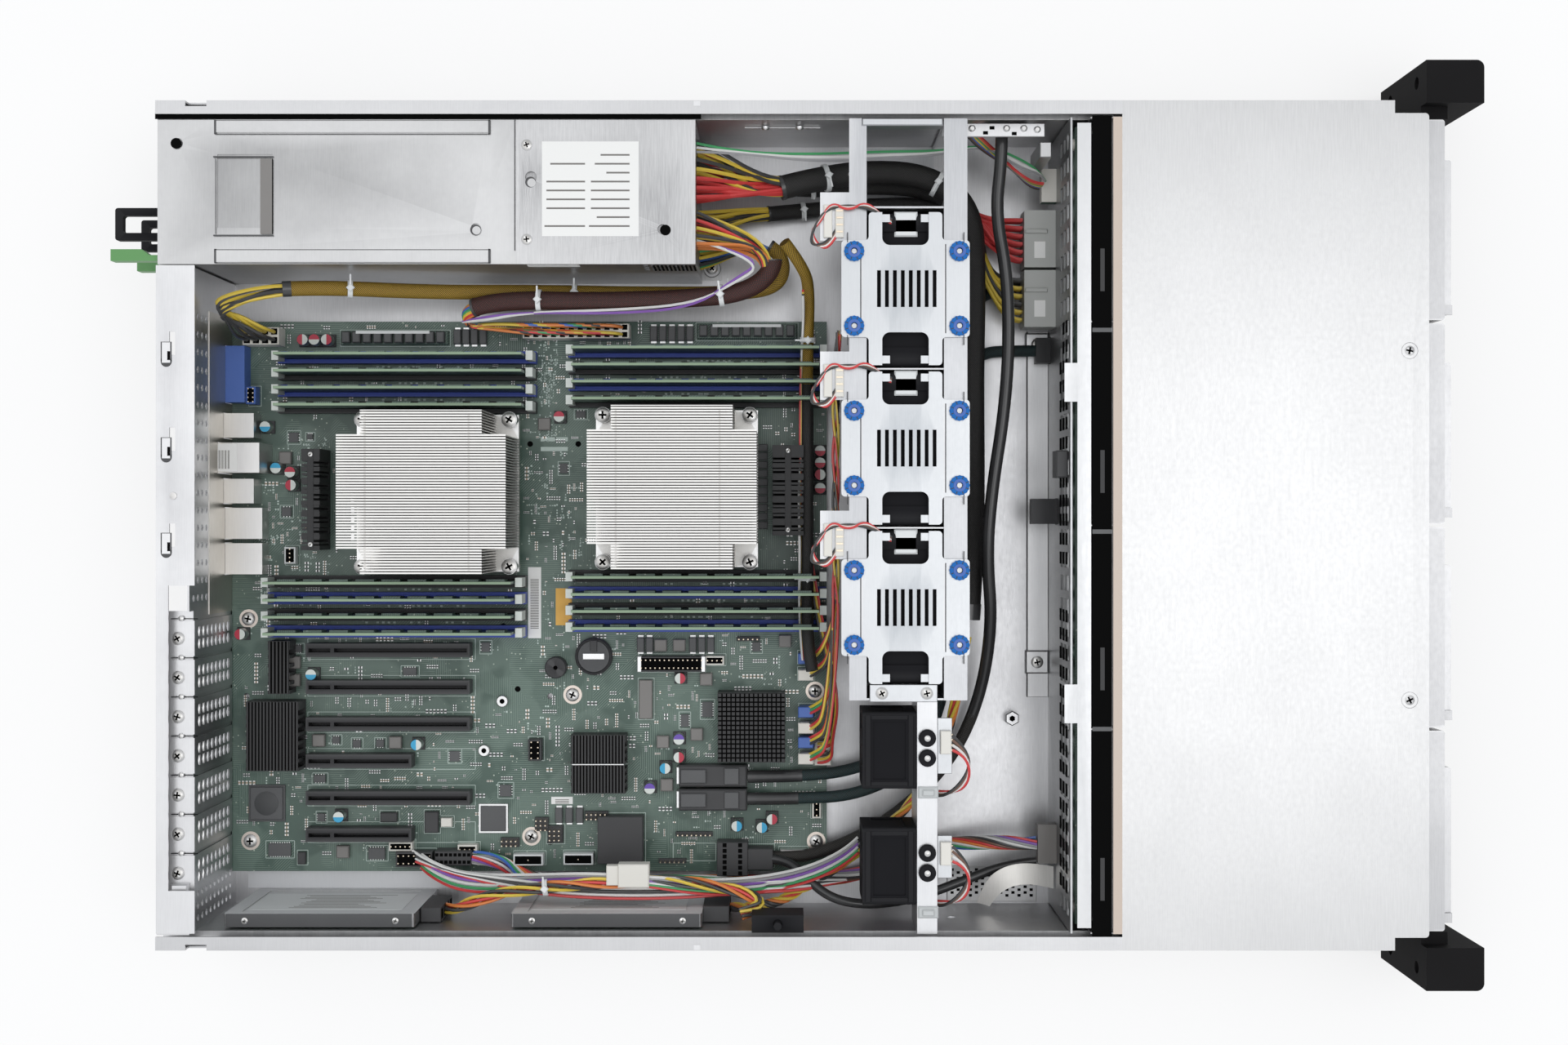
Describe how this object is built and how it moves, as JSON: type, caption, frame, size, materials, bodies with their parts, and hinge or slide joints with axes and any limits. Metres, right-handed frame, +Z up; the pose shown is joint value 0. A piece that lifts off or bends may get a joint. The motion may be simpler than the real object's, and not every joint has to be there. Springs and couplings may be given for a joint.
{
  "type": "2u rack server",
  "caption": "Rack server with its lid off: hot-swap drive bays in front, a fan row, a main board with finned coolers and memory, and stacked plug-in power supplies.",
  "frame": {"origin": "middle of the tray's underside, where the server rests", "axes": "+Z up, +Y from the front to the rear, +X to the right as seen from the front"},
  "size_m": [0.4826, 0.7126, 0.088],
  "materials": {
    "zinc_steel": "zinc-coated sheet steel with a faint grain",
    "nickel_steel": "nickel-plated sheet",
    "supply_case": "plated case, hollow and full of electronics",
    "black_steel": "black powder coat",
    "foam": "tan foam",
    "green_plastic": "green moulded plastic",
    "board_green": "glass-fibre board under green mask",
    "cooler_aluminium": "bright bare fins",
    "socket_plastic": "black moulded plastic",
    "black_aluminium": "black anodised",
    "drive_aluminium": "cast drive body",
    "black_plastic": "black moulded plastic",
    "lever_plastic": "black moulded plastic",
    "fan_plastic": "black fan frame under a zinc plate",
    "cable_sleeve": "braided sleeve over wires"
  },
  "bodies": {
    "chassis": {"aux_fan_bracket": "zinc_steel", "aux_fan_frames": "black_plastic", "backplane_board": "board_green", "backplane_wall": "zinc_steel", "board_heatsinks": "black_aluminium", "boot_drives": "drive_aluminium", "chassis_tray": "zinc_steel", "cover_gasket": "foam", "cpu_heatsink_front": "cooler_aluminium", "cpu_heatsink_rear": "cooler_aluminium", "cpu_sockets": "nickel_steel", "data_cables": "cable_sleeve", "drive_cage": "zinc_steel", "ear_left": "black_steel", "ear_right": "black_steel", "expansion_sockets": "socket_plastic", "fan_cage": "zinc_steel", "front_cover": "zinc_steel", "intrusion_switch": "black_plastic", "io_ports": "nickel_steel", "io_shield": "nickel_steel", "memory_modules": "board_green", "memory_sockets": "socket_plastic", "motherboard": "board_green", "power_distribution_box": "supply_case", "power_harness": "cable_sleeve", "psu_cage": "zinc_steel", "rear_panel": "zinc_steel", "rear_top_bar": "zinc_steel", "slot_covers": "zinc_steel"},
    "aux_fan_rotor_1": {"aux_fan_rotor_1": "black_plastic"},
    "aux_fan_rotor_2": {"aux_fan_rotor_2": "black_plastic"},
    "drive_carrier_11": {"drive_carrier_11": "drive_aluminium"},
    "drive_carrier_12": {"drive_carrier_12": "drive_aluminium"},
    "drive_carrier_13": {"drive_carrier_13": "drive_aluminium"},
    "drive_carrier_21": {"drive_carrier_21": "drive_aluminium"},
    "drive_carrier_22": {"drive_carrier_22": "drive_aluminium"},
    "drive_carrier_23": {"drive_carrier_23": "drive_aluminium"},
    "drive_carrier_31": {"drive_carrier_31": "drive_aluminium"},
    "drive_carrier_32": {"drive_carrier_32": "drive_aluminium"},
    "drive_carrier_33": {"drive_carrier_33": "drive_aluminium"},
    "drive_carrier_41": {"drive_carrier_41": "drive_aluminium"},
    "drive_carrier_42": {"drive_carrier_42": "drive_aluminium"},
    "drive_carrier_43": {"drive_carrier_43": "drive_aluminium"},
    "drive_lever_1": {"drive_lever_1": "lever_plastic"},
    "drive_lever_2": {"drive_lever_2": "lever_plastic"},
    "drive_lever_3": {"drive_lever_3": "lever_plastic"},
    "drive_lever_4": {"drive_lever_4": "lever_plastic"},
    "fan_module_1": {"fan_module_1": "fan_plastic"},
    "fan_module_2": {"fan_module_2": "fan_plastic"},
    "fan_module_3": {"fan_module_3": "fan_plastic"},
    "fan_rotor_1": {"fan_rotor_1": "black_plastic"},
    "fan_rotor_2": {"fan_rotor_2": "black_plastic"},
    "fan_rotor_3": {"fan_rotor_3": "black_plastic"},
    "intrusion_plunger": {"intrusion_plunger": "black_plastic"},
    "power_button": {"power_button": "black_plastic"},
    "psu_latch_lower": {"psu_latch_lower": "green_plastic"},
    "psu_latch_upper": {"psu_latch_upper": "green_plastic"},
    "psu_module_lower": {"psu_module_lower": "supply_case"},
    "psu_module_upper": {"psu_module_upper": "supply_case"}
  },
  "joints": [
    {"name": "carrier_11_slide", "type": "slide", "parent": "chassis", "child": "drive_carrier_11", "axis": [0, -1, 0], "range_m": [0, 0.18]},
    {"name": "carrier_12_slide", "type": "slide", "parent": "chassis", "child": "drive_carrier_12", "axis": [0, -1, 0], "range_m": [0, 0.18]},
    {"name": "carrier_13_slide", "type": "slide", "parent": "chassis", "child": "drive_carrier_13", "axis": [0, -1, 0], "range_m": [0, 0.18]},
    {"name": "lever_1_hinge", "type": "hinge", "parent": "drive_carrier_13", "child": "drive_lever_1", "pos_m": [-0.2038, -0.34, 0.07], "axis": [0, 0, -1], "range_deg": [0, 60]},
    {"name": "carrier_21_slide", "type": "slide", "parent": "chassis", "child": "drive_carrier_21", "axis": [0, -1, 0], "range_m": [0, 0.18]},
    {"name": "carrier_22_slide", "type": "slide", "parent": "chassis", "child": "drive_carrier_22", "axis": [0, -1, 0], "range_m": [0, 0.18]},
    {"name": "carrier_23_slide", "type": "slide", "parent": "chassis", "child": "drive_carrier_23", "axis": [0, -1, 0], "range_m": [0, 0.18]},
    {"name": "lever_2_hinge", "type": "hinge", "parent": "drive_carrier_23", "child": "drive_lever_2", "pos_m": [-0.0986, -0.34, 0.07], "axis": [0, 0, -1], "range_deg": [0, 60]},
    {"name": "carrier_31_slide", "type": "slide", "parent": "chassis", "child": "drive_carrier_31", "axis": [0, -1, 0], "range_m": [0, 0.18]},
    {"name": "carrier_32_slide", "type": "slide", "parent": "chassis", "child": "drive_carrier_32", "axis": [0, -1, 0], "range_m": [0, 0.18]},
    {"name": "carrier_33_slide", "type": "slide", "parent": "chassis", "child": "drive_carrier_33", "axis": [0, -1, 0], "range_m": [0, 0.18]},
    {"name": "lever_3_hinge", "type": "hinge", "parent": "drive_carrier_33", "child": "drive_lever_3", "pos_m": [0.0066, -0.34, 0.07], "axis": [0, 0, -1], "range_deg": [0, 60]},
    {"name": "carrier_41_slide", "type": "slide", "parent": "chassis", "child": "drive_carrier_41", "axis": [0, -1, 0], "range_m": [0, 0.18]},
    {"name": "carrier_42_slide", "type": "slide", "parent": "chassis", "child": "drive_carrier_42", "axis": [0, -1, 0], "range_m": [0, 0.18]},
    {"name": "carrier_43_slide", "type": "slide", "parent": "chassis", "child": "drive_carrier_43", "axis": [0, -1, 0], "range_m": [0, 0.18]},
    {"name": "lever_4_hinge", "type": "hinge", "parent": "drive_carrier_43", "child": "drive_lever_4", "pos_m": [0.1118, -0.34, 0.07], "axis": [0, 0, -1], "range_deg": [0, 60]},
    {"name": "fan_1_lift", "type": "slide", "parent": "chassis", "child": "fan_module_1", "axis": [0, 0, 1], "range_m": [0, 0.1]},
    {"name": "fan_1_spin", "type": "hinge", "parent": "fan_module_1", "child": "fan_rotor_1", "pos_m": [0.1222, -0.06, 0.042], "axis": [0, 1, 0], "continuous": true},
    {"name": "fan_2_lift", "type": "slide", "parent": "chassis", "child": "fan_module_2", "axis": [0, 0, 1], "range_m": [0, 0.1]},
    {"name": "fan_2_spin", "type": "hinge", "parent": "fan_module_2", "child": "fan_rotor_2", "pos_m": [0.0399, -0.06, 0.042], "axis": [0, 1, 0], "continuous": true},
    {"name": "fan_3_lift", "type": "slide", "parent": "chassis", "child": "fan_module_3", "axis": [0, 0, 1], "range_m": [0, 0.1]},
    {"name": "fan_3_spin", "type": "hinge", "parent": "fan_module_3", "child": "fan_rotor_3", "pos_m": [-0.0424, -0.06, 0.042], "axis": [0, 1, 0], "continuous": true},
    {"name": "aux_fan_1_spin", "type": "hinge", "parent": "chassis", "child": "aux_fan_rotor_1", "pos_m": [-0.1168, -0.05, 0.061], "axis": [0, 1, 0], "continuous": true},
    {"name": "aux_fan_2_spin", "type": "hinge", "parent": "chassis", "child": "aux_fan_rotor_2", "pos_m": [-0.177, -0.05, 0.061], "axis": [0, 1, 0], "continuous": true},
    {"name": "psu_lower_slide", "type": "slide", "parent": "chassis", "child": "psu_module_lower", "axis": [0, 1, 0], "range_m": [0, 0.19]},
    {"name": "psu_lower_latch", "type": "hinge", "parent": "psu_module_lower", "child": "psu_latch_lower", "pos_m": [0.1393, 0.3035, 0.036], "axis": [0, 0, -1], "range_deg": [0, 6], "stiffness_Nm_per_rad": 0.5, "springref_deg": -2.86},
    {"name": "psu_upper_slide", "type": "slide", "parent": "chassis", "child": "psu_module_upper", "axis": [0, 1, 0], "range_m": [0, 0.19]},
    {"name": "psu_upper_latch", "type": "hinge", "parent": "psu_module_upper", "child": "psu_latch_upper", "pos_m": [0.1393, 0.3035, 0.0775], "axis": [0, 0, -1], "range_deg": [0, 6], "stiffness_Nm_per_rad": 0.5, "springref_deg": -2.86},
    {"name": "power_button_press", "type": "slide", "parent": "chassis", "child": "power_button", "axis": [0, 1, 0], "range_m": [0, 0.0015], "stiffness_N_per_m": 600, "springref_m": -0.001},
    {"name": "intrusion_press", "type": "slide", "parent": "chassis", "child": "intrusion_plunger", "axis": [0, 0, -1], "range_m": [0, 0.002], "stiffness_N_per_m": 400, "springref_m": -0.001}
  ]
}
